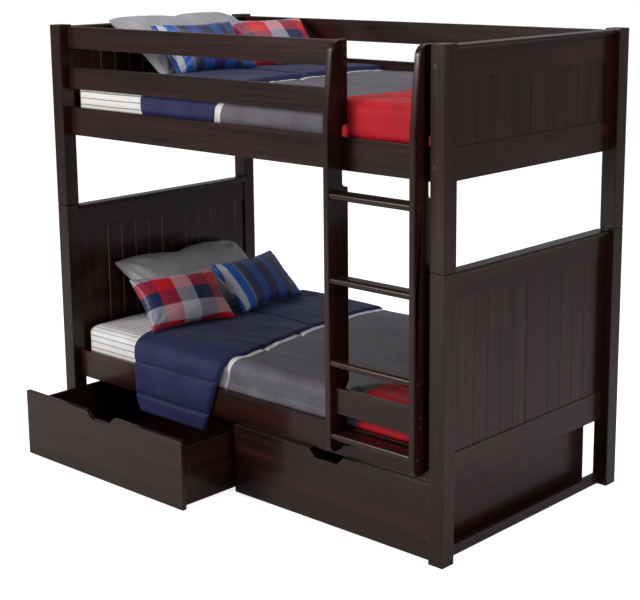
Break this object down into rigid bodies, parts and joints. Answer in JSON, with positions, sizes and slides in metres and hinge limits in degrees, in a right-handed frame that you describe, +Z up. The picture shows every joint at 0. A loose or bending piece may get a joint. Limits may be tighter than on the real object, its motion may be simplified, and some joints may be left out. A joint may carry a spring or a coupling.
{
  "type": "bunk bed",
  "caption": "Twin-over-twin panel bunk bed in dark wood, with a ladder, guard rails, made-up bedding and rolling under-bed drawers.",
  "frame": {"origin": "centre of the footprint with the left drawer as it stands, on the floor", "axes": "+X along the bed towards its foot end, +Y across it away from the ladder and drawers, +Z up"},
  "size_m": [2.02, 1.319, 1.7586],
  "materials": {
    "frame_wood": "dark espresso lacquer, satin",
    "drawer_wood": "dark espresso lacquer, satin",
    "slat_wood": "dark stained, matt",
    "bolt_brass": "antique",
    "pin_steel": "zinc plated",
    "caster_fork": "black",
    "caster_wheel": "moulded",
    "sheet": "woven cotton, thin grey stripes",
    "comforter": "quilted cotton in navy, grey and red bands",
    "pillow": "woven cotton",
    "plaid": "printed plaid cotton with piping",
    "stripe": "printed striped cotton"
  },
  "bodies": {
    "frame": {"post_lower_head_front": "frame_wood", "post_lower_head_back": "frame_wood", "post_lower_foot_front": "frame_wood", "post_lower_foot_back": "frame_wood", "post_upper_head_front": "frame_wood", "post_upper_head_back": "frame_wood", "post_upper_foot_front": "frame_wood", "post_upper_foot_back": "frame_wood", "side_rail_lower_front": "frame_wood", "side_rail_lower_back": "frame_wood", "side_rail_upper_front": "frame_wood", "side_rail_upper_back": "frame_wood", "guard_rails_front": "frame_wood", "guard_rails_back": "frame_wood", "end_caps": "frame_wood", "floor_rails": "frame_wood", "panel_rails_lower_head": "frame_wood", "panel_rails_lower_foot": "frame_wood", "panel_rails_upper_head": "frame_wood", "panel_rails_upper_foot": "frame_wood", "beadboard_lower_head": "frame_wood", "beadboard_lower_foot": "frame_wood", "beadboard_upper_head": "frame_wood", "beadboard_upper_foot": "frame_wood", "slats_lower": "slat_wood", "slats_upper": "slat_wood", "slat_cleats": "slat_wood", "ladder_stile_left": "frame_wood", "ladder_stile_right": "frame_wood", "ladder_rungs": "frame_wood", "ladder_brace": "frame_wood", "frame_bolts": "bolt_brass", "ladder_bolts": "bolt_brass", "stacking_pins": "pin_steel", "mattress_lower": "sheet", "mattress_upper": "sheet", "comforter_lower": "comforter", "comforter_upper": "comforter", "pillow_lower": "pillow", "pillow_upper": "pillow", "cushion_plaid_lower": "plaid", "cushion_stripe_lower": "stripe", "cushion_plaid_upper": "plaid", "cushion_stripe_upper": "stripe"},
    "left_drawer": {"drawer_left_front": "frame_wood", "drawer_left_box": "drawer_wood", "drawer_left_bottom": "drawer_wood", "drawer_left_casters": "caster_fork"},
    "right_drawer": {"drawer_right_front": "frame_wood", "drawer_right_box": "drawer_wood", "drawer_right_bottom": "drawer_wood", "drawer_right_casters": "caster_fork"},
    "left_wheel_1": {"drawer_left_wheel_1": "caster_wheel"},
    "left_wheel_2": {"drawer_left_wheel_2": "caster_wheel"},
    "left_wheel_3": {"drawer_left_wheel_3": "caster_wheel"},
    "left_wheel_4": {"drawer_left_wheel_4": "caster_wheel"},
    "right_wheel_1": {"drawer_right_wheel_1": "caster_wheel"},
    "right_wheel_2": {"drawer_right_wheel_2": "caster_wheel"},
    "right_wheel_3": {"drawer_right_wheel_3": "caster_wheel"},
    "right_wheel_4": {"drawer_right_wheel_4": "caster_wheel"}
  },
  "joints": [
    {"name": "left_drawer_slide", "type": "slide", "parent": "frame", "child": "left_drawer", "axis": [0, -1, 0], "range_m": [-0.262, 0.338]},
    {"name": "right_drawer_slide", "type": "slide", "parent": "frame", "child": "right_drawer", "axis": [0, -1, 0], "range_m": [0, 0.6]},
    {"name": "left_wheel_1_spin", "type": "hinge", "parent": "left_drawer", "child": "left_wheel_1", "pos_m": [-0.884, -0.5735, 0.02], "axis": [1, 0, 0], "range_deg": [-751, 969]},
    {"name": "left_wheel_2_spin", "type": "hinge", "parent": "left_drawer", "child": "left_wheel_2", "pos_m": [-0.062, -0.5735, 0.02], "axis": [1, 0, 0], "range_deg": [-751, 969]},
    {"name": "left_wheel_3_spin", "type": "hinge", "parent": "left_drawer", "child": "left_wheel_3", "pos_m": [-0.884, 0.2245, 0.02], "axis": [1, 0, 0], "range_deg": [-751, 969]},
    {"name": "left_wheel_4_spin", "type": "hinge", "parent": "left_drawer", "child": "left_wheel_4", "pos_m": [-0.062, 0.2245, 0.02], "axis": [1, 0, 0], "range_deg": [-751, 969]},
    {"name": "right_wheel_1_spin", "type": "hinge", "parent": "right_drawer", "child": "right_wheel_1", "pos_m": [0.062, -0.3115, 0.02], "axis": [1, 0, 0], "range_deg": [0, 1719]},
    {"name": "right_wheel_2_spin", "type": "hinge", "parent": "right_drawer", "child": "right_wheel_2", "pos_m": [0.884, -0.3115, 0.02], "axis": [1, 0, 0], "range_deg": [0, 1719]},
    {"name": "right_wheel_3_spin", "type": "hinge", "parent": "right_drawer", "child": "right_wheel_3", "pos_m": [0.062, 0.4865, 0.02], "axis": [1, 0, 0], "range_deg": [0, 1719]},
    {"name": "right_wheel_4_spin", "type": "hinge", "parent": "right_drawer", "child": "right_wheel_4", "pos_m": [0.884, 0.4865, 0.02], "axis": [1, 0, 0], "range_deg": [0, 1719]}
  ],
  "couplings": [
    {"joint": "left_wheel_1_spin", "follows": "left_drawer_slide", "rad_per_m": 50},
    {"joint": "left_wheel_2_spin", "follows": "left_drawer_slide", "rad_per_m": 50},
    {"joint": "left_wheel_3_spin", "follows": "left_drawer_slide", "rad_per_m": 50},
    {"joint": "left_wheel_4_spin", "follows": "left_drawer_slide", "rad_per_m": 50},
    {"joint": "right_wheel_1_spin", "follows": "right_drawer_slide", "rad_per_m": 50},
    {"joint": "right_wheel_2_spin", "follows": "right_drawer_slide", "rad_per_m": 50},
    {"joint": "right_wheel_3_spin", "follows": "right_drawer_slide", "rad_per_m": 50},
    {"joint": "right_wheel_4_spin", "follows": "right_drawer_slide", "rad_per_m": 50}
  ]
}
